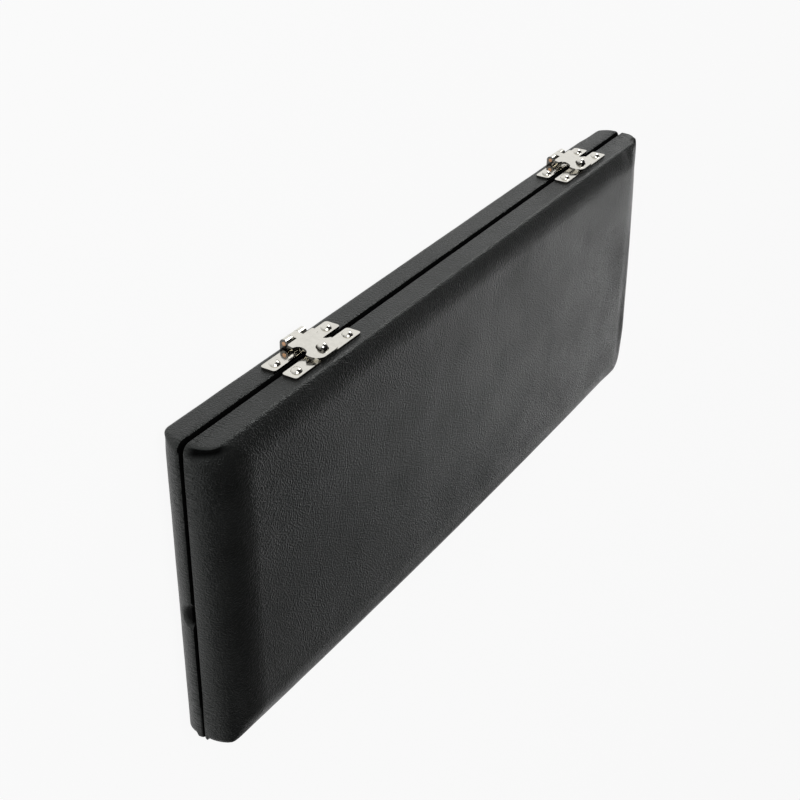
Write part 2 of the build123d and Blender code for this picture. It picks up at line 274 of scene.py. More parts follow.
GROOVE_SHADE_GLOSS = 0.03
GROOVE_SHADE_COLOURS = ((0.3, (0.0006, 0.0006, 0.0006)), (0.7, (0.0014, 0.0015, 0.0014)))
GROOVE_SHADE_ROUGHNESS = (0.85, 0.98)

VELVET_COLOURS = ((0.0, (0.014, 0.014, 0.017)), (1.0, (0.046, 0.046, 0.052)))
BIRCH_COLOURS = ((0.3, (0.50, 0.33, 0.17)), (0.7, (0.68, 0.50, 0.30)))
BIRCH_ROUGHNESS = (0.42, 0.6)


def notch_shade(m, x, y, above_seam):
    """1 in the thumb notch, fading out round it: where shade is painted into the hide."""
    across = m.times(m.maths(y, NOTCH_OFFSET, "SUBTRACT"), 2 / NOTCH_WIDTH)
    along = m.times(above_seam, 1 / NOTCH_REACH)
    squares = m.maths(m.maths(across, 2.0, "POWER"), m.maths(along, 2.0, "POWER"))
    away = m.maths(squares, kind="SQRT")
    on_end = m.maths(x, NOTCH_END, "GREATER_THAN")
    return m.times(m.near(away, *NOTCH_SHADE), on_end, m.near(above_seam, *NOTCH_SHADE_TOP))


def leather_material():
    m = Nodes("black_calf", Specular_IOR_Level=CALF_GLOSS)
    x, y, z = m.axes()
    above_seam = m.maths(z, SEAM_HEIGHT, "SUBTRACT")
    from_latch_side = m.maths(y, CASE_WIDTH / 2)
    from_end = m.maths(CASE_LENGTH / 2, m.size_of(x), "SUBTRACT")
    from_side = m.maths(CASE_WIDTH / 2, m.size_of(y), "SUBTRACT")

    # Pebble grain, finer and flatter in some parts of the hide than in others
    patch = m.noise(per_mm=0.05, detail=3.0, rough=0.55)
    pebble = m.cells(2.3, "SMOOTH_F1", m.stretch((1, 1, 1), (0.4, 0.2, 0.7)))
    crackle = m.spread(m.cells(1.1, "DISTANCE_TO_EDGE"), 0.0, 0.12)
    fine = m.noise(per_mm=6.0, detail=2.0, rough=0.6)

    # Short creases square to the seam, strongest where the hide is drawn round the corners
    by_corner = m.near(m.maths(from_end, from_side, "MAXIMUM"), *PLEATED_FROM_CORNER)
    by_seam = m.near(m.size_of(above_seam), *PLEATED_FROM_SEAM)
    pleats = m.noise(1.6, 2.0, 0.55, place=m.stretch((1, 1, 0.18)), distort=0.4)
    patchy = m.spread(m.noise(per_mm=0.12, detail=2.0), 0.42, 0.6)
    pleat_height = m.times(
        m.beyond(pleats, 0.32, 0.62),
        m.times(
            by_seam,
            m.at_least(by_corner, PLEATS_BETWEEN_CORNERS),
            m.at_least(patchy, PLEATS_BETWEEN_PATCHES),
        ),
    )

    # Long soft draw marks across the face
    drawn = m.noise(0.12, 3.0, 0.5, place=m.stretch((1.0, 0.22, 1.0), (0, 0, 0.12)), distort=0.5)

    # Painted shade in the seam's groove, in the fold under the lid's corners and in the notch; the
    # hide is also rougher there
    groove = m.times(m.beyond(above_seam, *GROOVE_BOTTOM), m.near(above_seam, *GROOVE_TOP))
    crease_shade = m.times(
        m.spread(from_latch_side, *CREASE_OUTER),
        m.near(from_latch_side, *CREASE_INNER),
        m.beyond(above_seam, *CREASE_BOTTOM),
        m.near(above_seam, *CREASE_TOP),
        m.near(from_end, *CREASE_REACH),
    )
    crease_shade = m.maths(crease_shade, notch_shade(m, x, y, above_seam), "MAXIMUM")
    dull_and_painted_shade = m.maths(groove, crease_shade, "MAXIMUM")

    tone = m.maths(m.spread(patch, 0.35, 0.7), m.spread(fine, 0.3, 0.7))
    # Painted shade: the colour is darkened in the seam's groove, under the lid's corners and in
    # the notch
    tone = m.maths(tone, m.times(dull_and_painted_shade, PAINTED_SHADE_DARKENING), "SUBTRACT")
    m.to("Base Color", m.colours(m.spread(tone, -0.3, 1.6), CALF_COLOURS))
    rub = m.spread(m.maths(m.times(patch, 0.4), fine), 0.5, 0.9, 0.0, 0.5)
    m.to("Roughness", m.spread(m.maths(rub, dull_and_painted_shade), 0.0, 1.3, *CALF_ROUGHNESS))
    # Painted shade: the specular tint goes almost black under the lid's corners and in the notch
    m.to("Specular Tint", m.colours(crease_shade, CREASE_SHADE_SPECULAR_TINTS))
    m.bumps(
        (drawn, 0.20, 0.15),
        (pleat_height, 0.9, 1.0),
        (crackle, 0.06, 0.5),
        (pebble, 0.22, 0.85),
        (fine, 0.03, 0.7),
    )
    return m.material


def groove_shade_leather_material():
    """Leather down in the seam's groove: painted shade, almost black, rough and with almost no
    reflection.
    """
    m = Nodes("groove_shade_calf", Specular_IOR_Level=GROOVE_SHADE_GLOSS)
    fine = m.noise(per_mm=6.0, detail=2.0, rough=0.6)
    patch = m.noise(per_mm=0.3, detail=2.0)
    m.to("Base Color", m.colours(patch, GROOVE_SHADE_COLOURS))
    m.to("Roughness", m.spread(fine, 0.3, 0.7, *GROOVE_SHADE_ROUGHNESS))
    m.bumps((fine, 0.05, 0.5))
    return m.material


def velvet_material():
    m = Nodes("black_velvet", Roughness=0.95, Sheen_Weight=0.45, Sheen_Roughness=0.35,
              Specular_IOR_Level=0.15)
    brushed = m.noise(per_mm=0.06, detail=3.0, rough=0.6, distort=1.2)
    pile = m.noise(per_mm=9.0, detail=2.0, rough=0.7)
    shade = m.times(m.spread(brushed, 0.35, 0.65), m.spread(pile, 0.3, 0.7))
    m.to("Base Color", m.colours(shade, VELVET_COLOURS))
    m.bumps((brushed, 0.25, 0.3), (pile, 0.06, 0.6))
    return m.material


def wood_material():
    m = Nodes("birch", Specular_IOR_Level=0.4)
    grain = m.noise(0.9, 4.0, 0.6, place=m.stretch((0.06, 1.0, 1.0)), distort=0.5)
    pores = m.noise(4.0, 2.0, 0.7, place=m.stretch((0.12, 1.0, 1.0)))
    m.to("Base Color", m.colours(grain, BIRCH_COLOURS))
    m.to("Roughness", m.spread(pores, 0.3, 0.7, *BIRCH_ROUGHNESS))
    m.bumps((grain, 0.04, 0.4), (pores, 0.03, 0.5))
    return m.material


def metal_material(name, colour, roughness, worn, edge=1.0):
    """Polished metal.

    worn is the share of brightness left on darker worn patches. Faces that don't face along Y,
    such as the edges of flat pieces, get painted shade: the worn share times edge.
    """
    m = Nodes(name, Metallic=1.0)
    cloud = m.noise(per_mm=0.7, detail=3.0, rough=0.6)
    scratch = m.noise(2.0, 3.0, 0.7, place=m.stretch((0.15, 1.0, 1.0), (0.3, 0.2, 0.5)))
    dark = tuple(part * worn for part in colour)
    # Painted shade: faces that don't face along Y are darkened towards this colour
    edge_shade_colour = tuple(part * edge for part in dark)
    normal = m.add("ShaderNodeTexCoord").outputs["Normal"]
    facing = m.add("ShaderNodeSeparateXYZ", {"Vector": normal})
    flat = m.spread(m.size_of(facing.outputs["Y"]), 0.3, 0.75)
    shown = m.times(m.spread(cloud, 0.3, 0.65, 0.5, 1.0), flat)
    m.to("Base Color", m.colours(shown, ((0.0, edge_shade_colour), (0.5, dark), (1.0, colour))))
    rub = m.maths(cloud, scratch)
    m.to("Roughness", m.spread(rub, 0.7, 1.3, roughness * 0.75, roughness * 1.35))
    m.bumps((cloud, 0.015, 0.2), (scratch, 0.003, 0.4))
    return m.material


LEATHER_LOOK = leather_material()
GROOVE_SHADE_LOOK = groove_shade_leather_material()
VELVET_LOOK = velvet_material()
LOOKS = {
    "birch_wood": wood_material(),
    "brass": metal_material("turned_brass", (0.78, 0.58, 0.28), 0.22, 0.85),
    "pin_brass": metal_material("copper_wire", (0.72, 0.43, 0.26), 0.3, 0.8),
    # The nickel's edges get painted shade, down to 0.2 of its worn colour
    "nickel": metal_material("nickel_plate", (0.76, 0.74, 0.68), 0.12, 0.92, 0.2),
}
for part in frame["record"]["subparts"]:
    look = LOOKS.get(part["material_slot"])
    if look is not None:
        node_mesh = frame["nodes"][part["node"]].data
        node_mesh.materials.clear()
        node_mesh.materials.append(look)


# ---- the case's form, as rings at growing depth below a half's seam edge ----
CORNER_STEPS, LONG_STEPS, SHORT_STEPS = 10, 150, 116
RING_COUNT = 4 * CORNER_STEPS + 2 * LONG_STEPS + 2 * SHORT_STEPS
SEAM_EDGE_STEPS, KNEE_STEPS_PER_MM = 7, 4.5
LEAST_UPRIGHT_STEPS, LEAST_FALL_STEPS = 2, 6

# A ring's corner gets tighter inwards, and rounder where the end runs up to the face
TIGHTENING, TIGHTEST_CORNER = 0.6, 1.0
SOFT_MITRE, MITRE_START, MITRE_POWER = 5.0, (0.04, 0.4), 0.8

# Points are closer together at the thumb notch and at the latch side: by how much, over what
NOTCH_CLOSENESS, NOTCH_CLOSE_WIDTH = 3.5, 0.8 * NOTCH_WIDTH
LATCH_CLOSENESS, LATCH_CLOSE_WIDTH = 4.0, 5.0

MERGE_MM, DEGENERATE_MM = 0.002, 0.001


def soft_step(value, low, high):
    """0 up to low, rising smoothly to 1 at high."""
    part = np.clip((value - low) / (high - low), 0, 1)
    return part * part * (3 - 2 * part)


def band(value, none_low, full_low, full_high, none_high):
    """1 between the two middle limits, fading smoothly to 0 at the outer ones."""
    return soft_step(value, none_low, full_low) * (1 - soft_step(value, full_high, none_high))


def depth_of(points, side):
    """Depth of points below their half's seam edge."""
    return side * (points[..., 2] - SEAM_HEIGHT) - SEAM_GAP / 2


def short_shares():
    """Shares along a short side, closer together where the surface bends most."""
    places = np.linspace(-CASE_WIDTH / 2, CASE_WIDTH / 2, 2001)
    by_notch = (places - NOTCH_OFFSET) / NOTCH_CLOSE_WIDTH
    by_latch_side = (places + CASE_WIDTH / 2) / LATCH_CLOSE_WIDTH
    closeness = 1 + NOTCH_CLOSENESS * np.exp(-(by_notch**2))
    closeness += LATCH_CLOSENESS * np.exp(-(by_latch_side**2))
    total = np.concatenate(((0,), np.cumsum((closeness[1:] + closeness[:-1]) / 2)))
    return np.interp(np.linspace(0, total[-1], SHORT_STEPS + 1), total, places) / CASE_WIDTH + 0.5


SHORT_SHARES = short_shares()
LONG_SHARES = np.linspace(0, 1, LONG_STEPS + 1)


def ring(inset_x, inset_y, radius):
    """Points round a rounded rectangle, from the +X +Y corner towards -X."""
    x, y = CASE_LENGTH / 2 - inset_x - radius, CASE_WIDTH / 2 - inset_y - radius
    corners = ((1, 1), (-1, 1), (-1, -1), (1, -1))
    shares = (LONG_SHARES, 1 - SHORT_SHARES[::-1], LONG_SHARES, SHORT_SHARES)
    points = []
    for turned, (sx, sy) in enumerate(corners):
        for step in range(CORNER_STEPS + 1):
            angle = pi / 2 * (turned + step / CORNER_STEPS)
            points.append((sx * x + radius * cos(angle), sy * y + radius * sin(angle)))
        start = np.array(points[-1])
        nx, ny = corners[(turned + 1) % 4]
        after = pi / 2 * (turned + 1)
        end = np.array((nx * x + radius * cos(after), ny * y + radius * sin(after)))
        points += [tuple(start + (end - start) * share) for share in shares[turned][1:-1]]
    return np.array(points)


def end_inset(depth, wall, bottom):
    """How far in from the case's end a form lies at a depth."""
    if depth <= END_START:
        return wall
    part = min((depth - END_START) / (bottom - END_START), 1)
    return END_REACH - (END_REACH - wall) * sqrt(1 - part**2)


def side_bends(wall, bottom, knee):
    """Centre depth and radius of a side's bevel arc, and the depths its knee lies between."""
    radius = BEVEL_RADIUS - (HALF_HEIGHT - bottom)
    centre = bottom - radius
    knee_from = centre + sqrt((radius - knee) ** 2 - (BEVEL_INSET - wall - knee) ** 2)
    knee_to = centre + (knee_from - centre) * radius / (radius - knee)
    return centre, radius, knee_from, knee_to


def side_inset(depth, wall, bottom, knee):
    """How far in from the case's long side a form lies at a depth."""
    centre, radius, knee_from, knee_to = side_bends(wall, bottom, knee)
    if depth <= knee_from:
        return wall
    if depth < knee_to:
        return wall + knee - sqrt(max(knee**2 - (depth - knee_from) ** 2, 0))
    return BEVEL_INSET - sqrt(max(radius**2 - (depth - centre) ** 2, 0))


def form_rows(wall, floor_in, start, edge, knee, spacing, softness=1.0, edge_in=None):
    """Rows (X inset, Y inset, depth, corner radius) from a half's seam edge to its flat face.

    The seam edge is rounded by edge in depth, and inwards by edge_in or as much.
    """
    edge_in = edge_in or edge
    bottom = HALF_HEIGHT - floor_in
    rim_radius = max(CORNER_RADIUS - wall, INNER_CORNER)
    knee_from, knee_to = side_bends(wall, bottom, knee)[2:]
    rows = []
    for step in range(SEAM_EDGE_STEPS if edge > 0 else 0):
        angle = pi / 2 * step / SEAM_EDGE_STEPS
        inset = wall + edge_in * (1 - sin(angle))
        radius = max(CORNER_RADIUS - inset, INNER_CORNER)
        rows.append((inset, inset, start + edge * (1 - cos(angle)), radius))

    upright = max(LEAST_UPRIGHT_STEPS, round((knee_from - start - edge) / spacing))
    bend = max(1, round(KNEE_STEPS_PER_MM * knee))
    fall = max(LEAST_FALL_STEPS, round(END_REACH / spacing))
    depths = list(np.linspace(start + edge, knee_from, upright + 1))
    depths += list(np.linspace(knee_from, knee_to, bend + 1)[1:])
    depths += [bottom - (bottom - knee_to) * (1 - step / fall) ** 2 for step in range(1, fall + 1)]

    knee_end = end_inset(knee_from, wall, bottom)
    for depth in depths:
        inset_x = end_inset(depth, wall, bottom)
        inset_y = side_inset(depth, wall, bottom, knee)
        along = min(max((inset_x - knee_end) / (END_REACH - knee_end), 0), 1)
        tight = rim_radius - TIGHTENING * (inset_x - wall)
        tight = max(tight, min(rim_radius, TIGHTEST_CORNER))
        mitre = softness * SOFT_MITRE * soft_step(along, *MITRE_START)
        radius = tight * (1 - along) + mitre * (1 - along) ** MITRE_POWER
        rows.append((inset_x, inset_y, depth, radius if depth < bottom - 1e-9 else 0.0))
    return rows


def placed_rings(rows, side):
    """Places of every ring's points in the row frame, as an array (rows, ring, 3)."""
    grid = np.zeros((len(rows), RING_COUNT, 3))
    for index, (inset_x, inset_y, depth, radius) in enumerate(rows):
        grid[index, :, :2] = ring(inset_x, inset_y, radius)
        grid[index, :, 2] = SEAM_HEIGHT + side * (SEAM_GAP / 2 + depth)
    return grid


def placed_face(border):
    """Places of a flat face's points inside its square-cornered ring, as (long, short, 3)."""
    (high_x, high_y), (low_x, low_y) = border[:, :2].max(0), border[:, :2].min(0)
    xs = high_x + (low_x - high_x) * LONG_SHARES
    ys = low_y + (high_y - low_y) * SHORT_SHARES
    face = np.zeros((LONG_STEPS + 1, SHORT_STEPS + 1, 3))
    face[:, :, 0], face[:, :, 1], face[:, :, 2] = xs[:, None], ys[None, :], border[0, 2]
    return face


def face_numbers(ring_start, inside_start):
    """Numbers of a face grid's vertices: its border is the ring's, its inside has its own."""
    numbers = np.zeros((LONG_STEPS + 1, SHORT_STEPS + 1), int)
    inside = np.arange((LONG_STEPS - 1) * (SHORT_STEPS - 1))
    numbers[1:-1, 1:-1] = inside_start + inside.reshape(LONG_STEPS - 1, SHORT_STEPS - 1)
    long_run, short_run = np.arange(LONG_STEPS + 1), np.arange(SHORT_STEPS + 1)
    long_turn, short_turn = LONG_STEPS + CORNER_STEPS, SHORT_STEPS + CORNER_STEPS
    starts = np.cumsum((CORNER_STEPS, long_turn, short_turn, long_turn))
    numbers[:, -1] = ring_start + starts[0] + long_run
    numbers[-1, ::-1] = ring_start + starts[1] + short_run
    numbers[::-1, 0] = ring_start + starts[2] + long_run
    numbers[0, :] = ring_start + (starts[3] + short_run) % RING_COUNT
    return numbers


def quads(numbers):
    """Quads of a grid of vertex numbers."""
    corners = numbers[:-1, :-1], numbers[1:, :-1], numbers[1:, 1:], numbers[:-1, 1:]
    return np.stack([corner.ravel() for corner in corners], 1)


def finished(name, bm, mesh, *looks):
    """A smooth-shaded object of a mesh being edited, with its materials."""
    bmesh.ops.recalc_face_normals(bm, faces=bm.faces)
    bm.to_mesh(mesh)
    bm.free()
    mesh.shade_smooth()
    for look in looks:
        mesh.materials.append(look)
    return placed(name, mesh)


def closed_piece(name, rings, first_face, last_face, *looks):
    """A closed mesh object: rings from one flat face round to another, with both faces filled."""
    rows = len(rings)
    points = [rings.reshape(-1, 3)]
    numbers = np.arange(rows * RING_COUNT).reshape(rows, RING_COUNT)
    faces = [quads(np.hstack((numbers, numbers[:, :1])))]
    used = rows * RING_COUNT
    for row, face in ((0, first_face), (rows - 1, last_face)):
        faces.append(quads(face_numbers(row * RING_COUNT, used)))
        inside = face[1:-1, 1:-1].reshape(-1, 3)
        points.append(inside)
        used += len(inside)
    mesh = bpy.data.meshes.new(name)
    mesh.from_pydata((np.vstack(points) * MM).tolist(), [], np.vstack(faces).tolist())
    bm = bmesh.new()
    bm.from_mesh(mesh)
    bmesh.ops.remove_doubles(bm, verts=bm.verts, dist=MERGE_MM * MM)
    bmesh.ops.dissolve_degenerate(bm, edges=bm.edges, dist=DEGENERATE_MM * MM)
    return finished(name, bm, mesh, *looks)


def ring_normals(grid, side):
    """Outward normals of rings that run from a flat face to the seam edge."""
    along = np.roll(grid, -1, 1) - np.roll(grid, 1, 1)
    across = np.zeros_like(grid)
    across[1:-1] = grid[2:] - grid[:-2]
    across[-1] = grid[-1] - grid[-2]
    normal = np.cross(along, across) * -side
    normal[0] = (0, 0, side)
    length = np.linalg.norm(normal, axis=2, keepdims=True)
    return normal / np.maximum(length, 1e-9)


def field(points, scale, seed, octaves=3):
    """Smooth noise of about -1 to 1 at points, with features of so many millimetres."""
    flat = points.reshape(-1, 3) / scale + np.array((seed * 7.3, seed * 3.1, seed * 5.7))
    values = [noise.fractal(Vector(p), 1.0, 2.0, octaves) for p in flat]
    return np.array(values).reshape(points.shape[:-1])


# ---- leather covers ----
# The groove's drop beside the seam, and its rounding in depth and inwards
SEAM_EDGE = {"base": (0.65, 1.1, 1.3), "lid": (0.45, 0.6, 0.9)}
SEAM_LAND_DROP, LEAST_SEAM_DROP = 0.2, 0.1
TURNED_IN = 0.35  # rounding of the cover's inner edge
LAND_INSETS = (2.1, 2.5)  # where the strip between the groove and the inner edge lies
SHARP_KNEE = 1.7
MITRE_SHARE = {"base": 1.2, "lid": 1.0}
OUTER_SPACING, INNER_SPACING = 0.9, 3.0

# How deep the painted-shade leather goes below the seam edge, and where the groove has closed
GROOVE_SHADE_DEPTH, CLOSED_GROOVE_SHADE_DEPTH = {"base": 1.0, "lid": 0.6}, 0.3
END_CLOSING, CLOSING_TIGHTENS = 0.5, 0.6

# Height of the hide's waves, with their size, and how far it lies below its even form
FACE_WAVE, FACE_WAVE_SIZE, FACE_SINK = 0.03, 30.0, 0.03
DRAWN_WAVE, DRAWN_WAVE_SIZE, DRAWN_STRETCH = 0.012, 6.0, (1.0, 0.16, 1.0)
NEAR_END_DRAWN = 0.3
RIM_WAVE, RIM_WAVE_SIZE = 0.05, 12.0
PRESSED, PRESSED_EDGE, PRESSED_WALL = 0.03, (0.4, 2.2), 2.0
MOST_SWELL, SWELL_START = 0.02, (0.9, 3.0)
MOST_SINK = 0.45

# The bow of the hinge side and of the far end
BOW_SHARE = {BASE: 0.4, LID: 1.0}
HINGE_BOW, HINGE_BOW_DROP, HINGE_BOW_HALF_LENGTH = 1.2, 0.4, 122
FAR_BOW_PLACES = (-47, -27, -8, 3, 17, 28, 38, 47)
FAR_BOW_RISES = (-0.8, 0, 0.55, 0.75, 0.95, 1.1, 0.9, 0.2)
LIP_HOLLOW = {BASE: 0.15, LID: 0.5}


def hide_swell(points, side):
    """How far the stretched hide stands off its even form, in millimetres."""
    x, y = points[..., 0], points[..., 1]
    depth = depth_of(points, side)
    face_part = soft_step(depth, RIM_HEIGHT, HALF_HEIGHT)
    drawn_share = NEAR_END_DRAWN + soft_step(-x, 30.0, 110.0)
    drawn = field(points * DRAWN_STRETCH, DRAWN_WAVE_SIZE, seed=5 + side, octaves=2)
    swell = (FACE_WAVE * field(points, FACE_WAVE_SIZE, seed=1 + side) - FACE_SINK) * face_part
    swell += DRAWN_WAVE * drawn * face_part * drawn_share
    swell += RIM_WAVE * field(points, RIM_WAVE_SIZE, seed=9 + side) * (1 - face_part)

    # Pressed flat under the latch plates and hinge leaves, and free again beside them
    for wall_y, middles, half_length, reach in (
        (-CASE_WIDTH / 2, LATCH_MIDDLES, PLATE_LENGTH / 2, PLATE_FAR_EDGE),
        (CASE_WIDTH / 2, HINGE_MIDDLES, HINGE_LENGTH / 2, HINGE_REACH),
    ):
        on_wall = (np.abs(y - wall_y) < PRESSED_WALL) & (depth < RIM_HEIGHT)
        for middle in middles:
            outside = np.maximum(np.abs(x - middle) - half_length, depth - reach)
            free = soft_step(np.maximum(outside, 0), *PRESSED_EDGE)
            swell = np.where(on_wall, swell * free - PRESSED * (1 - free), swell)
    return np.minimum(swell, MOST_SWELL * soft_step(depth, *SWELL_START))


def soft_bow(points, side):
    """How much fuller than its even form a half is, in millimetres.

    The photograph shows the hinge side and the far end bowed: full in the middle of their
    length and drawn in at the corners.
    """
    x, y = points[..., 0], points[..., 1]
    depth = depth_of(points, side)
    by_length = HINGE_BOW * (1 - (x / HINGE_BOW_HALF_LENGTH) ** 2) - HINGE_BOW_DROP
    back = by_length * soft_step(y, 25, 45) * band(depth, 6.6, 8.4, 9.5, 10.85)
    rise = np.interp(y, FAR_BOW_PLACES, FAR_BOW_RISES)
    end = rise * soft_step(-x, 105, 114) * band(depth, 3.5, 8.0, 9.8, 10.85)
    return BOW_SHARE[side] * (back + end)


def lip_hollow(points, side):
    """How far the ends are drawn in just under their edge with the latch side."""
    x, y = points[..., 0], points[..., 1]
    on_end = soft_step(np.abs(x), CASE_LENGTH / 2 - 7, CASE_LENGTH / 2 - 5)
    by_side = band(y + CASE_WIDTH / 2, 0.5, 1.5, 1.3, 6.0)
    by_depth = band(depth_of(points, side), 1.2, 5.0, 7.5, 10.0)
    return LIP_HOLLOW[side] * by_side * on_end * by_depth


def groove_closing(points):
    """How far the seam's groove closes: 0 is as wide as on the latch side, 1 is shut."""
    x, y = np.abs(points[..., 0]), points[..., 1]
    on_end = soft_step(x, CASE_LENGTH / 2 - 6, CASE_LENGTH / 2 - 3)
    by_hinge = soft_step(y, 20, 44)
    return np.maximum(END_CLOSING * on_end * soft_step(y, -46, -38),
                      by_hinge * soft_step(x, 95, 118))


def close_groove(lips, outside, half, side):
    """Raise and tighten the groove's rows where it closes, in place."""
    start, edge, edge_in = SEAM_EDGE[half]
    depth = depth_of(lips, side)
    closes = groove_closing(lips)
    shut = LEAST_SEAM_DROP + (np.maximum(depth - start, 0)
                              * (start + edge - LEAST_SEAM_DROP) / edge)
    raised = np.where(depth < start + edge, depth + (shut - depth) * closes, depth)
    lips[..., 2] += side * (np.maximum(raised, LEAST_SEAM_DROP) - depth)
    rows = len(outside)
    tighter = CLOSING_TIGHTENS * closes[:rows] * (depth[:rows] < start + edge)
    for axis, reach in ((0, CASE_LENGTH / 2), (1, CASE_WIDTH / 2)):
        place = outside[..., axis]
        gap = reach - np.abs(place)
        place += np.sign(place) * gap * tighter * (1 - soft_step(gap, edge_in, 2.5 * edge_in))


def press_notch(shown):
    """Press the thumb notch into the base's right-hand end, in place."""
    across = (shown[..., 1] - NOTCH_OFFSET) / (NOTCH_WIDTH / 2)
    below_seam = depth_of(shown, BASE) + SEAM_GAP / 2
    away = np.hypot(across, below_seam / NOTCH_REACH)
    push = NOTCH_RECESS * (1 - soft_step(away, 0.6, 1.12)) * (shown[..., 0] > NOTCH_END)
    inset = CASE_LENGTH / 2 - shown[..., 0]
    shown[..., 0] -= push * np.clip((SHELL_WALL - inset) / SHELL_WALL, 0, 1)


def shade_the_groove(piece, half, side):
    """Give the faces down in the groove the second material, which paints shade there."""
    middles = np.zeros(3 * len(piece.data.polygons))
    piece.data.polygons.foreach_get("center", middles)
    middles = middles.reshape(-1, 3) / MM
    closed = CLOSED_GROOVE_SHADE_DEPTH - GROOVE_SHADE_DEPTH[half]
    in_groove_shade = depth_of(middles, side) < GROOVE_SHADE_DEPTH[half] + closed * groove_closing(middles)
    piece.data.polygons.foreach_set("material_index", in_groove_shade.astype(np.int32))


def leather_cover(half, side):
    start, edge, edge_in = SEAM_EDGE[half]
    outer = form_rows(0, 0, start, edge, SHARP_KNEE, OUTER_SPACING, MITRE_SHARE[half], edge_in)
    outer_land, inner_land = LAND_INSETS
    land = [
        (outer_land, outer_land, start - 0.05, INNER_CORNER),
        (inner_land, inner_land, SEAM_LAND_DROP, INNER_CORNER),
    ]
    for angle in (0, pi / 4, pi / 2):
        inset = SHELL_WALL - TURNED_IN * (1 - sin(angle))
        land.append((inset, inset, SEAM_LAND_DROP + TURNED_IN * (1 - cos(angle)), INNER_CORNER))
    land.append((SHELL_WALL, SHELL_WALL, LEATHER, INNER_CORNER))
    inner_edge, inner_knee = SEAM_ROUND - LEATHER, KNEE_ROUND - LEATHER
    inner = form_rows(LEATHER, LEATHER, LEATHER, inner_edge, inner_knee, INNER_SPACING)
    rings = placed_rings(outer[::-1] + land + inner, side)
    outside = rings[: len(outer)]
    first_face, last_face = placed_face(rings[0]), placed_face(rings[-1])

    close_groove(rings[: len(outer) + 2], outside, half, side)
    stands = hide_swell(outside, side) + soft_bow(outside, side) - lip_hollow(outside, side)
    outside += ring_normals(outside, side) * np.maximum(stands, -MOST_SINK)[..., None]
    first_face[..., 2] += side * hide_swell(first_face, side)
    if side == BASE:
        press_notch(rings[: len(outer) + len(land)])

    name = f"{half}_leather_cover"
    piece = closed_piece(name, rings, first_face, last_face, LEATHER_LOOK, GROOVE_SHADE_LOOK)
    shade_the_groove(piece, half, side)
    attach(piece, half)
    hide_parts(f"{half}_leather")


# ---- velvet linings ----
LINING_EDGE = 0.3
BACK_SPACING, PILE_SPACING = 3.0, 1.6
PILE_KNEE, PILE_MITRE_SHARE = 1.0, 0.6
PILE_WAVE, PILE_WAVE_SIZE, PILE_SINK = 0.05, 9.0, 0.6
NAP_WAVE, NAP_WAVE_SIZE = 0.02, 2.5


def velvet_lining(half, side):
    wall, face = SHELL_WALL + GLUE, SHELL_FACE + GLUE
    top = LINING_DROP + LINING_EDGE
    outside = form_rows(wall, face, top, 0, 0, BACK_SPACING, softness=0.0)[::-1]
    middle = wall + LINING / 2
    crest = [(middle, middle, LINING_DROP + 0.02, INNER_CORNER)]
    inside = form_rows(wall + LINING, face + LINING, top, 0, PILE_KNEE, PILE_SPACING,
                       PILE_MITRE_SHARE)
    rings = placed_rings(outside + crest + inside, side)
    first_face, last_face = placed_face(rings[0]), placed_face(rings[-1])

    # The pile is thinner in places, and never thicker than the solid
    shown = rings[len(outside) + 1:]
    thinner = PILE_WAVE * (field(shown, PILE_WAVE_SIZE, seed=21 + side) - PILE_SINK)
    thinner = thinner + NAP_WAVE * field(shown, NAP_WAVE_SIZE, seed=25 + side)
    below_seam = depth_of(shown, side) + SEAM_GAP / 2
    outward = ring_normals(shown[::-1], side)[::-1]
    shown += outward * (np.minimum(thinner, 0.0) * soft_step(below_seam, 0.8, 3.0))[..., None]
    piece = closed_piece(f"{half}_velvet_lining", rings, first_face, last_face, VELVET_LOOK)
    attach(piece, half)
    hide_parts(f"{half}_lining")


# ---- cushions that the reeds' windings lie on ----
CUSHION_STEPS, CUSHION_ROWS = 240, 16
CUSHION_END_POWER, CUSHION_CROWN_POWER = 60, 3.0

# Heights as shares of the cushion's own: its rim, its crown and the dents under the reeds
CUSHION_RIM, CUSHION_CROWN, CUSHION_DENT, CUSHION_LIFT = 0.12, 0.86, 0.26, 0.01
CUSHION_PULL = 0.03  # how much narrower it is at a dent
CUSHION_WIDTH, CUSHION_WANDER = 0.985, 0.015
PEG_PHASE = 0.5 * (PEG_COUNT % 2 == 0)


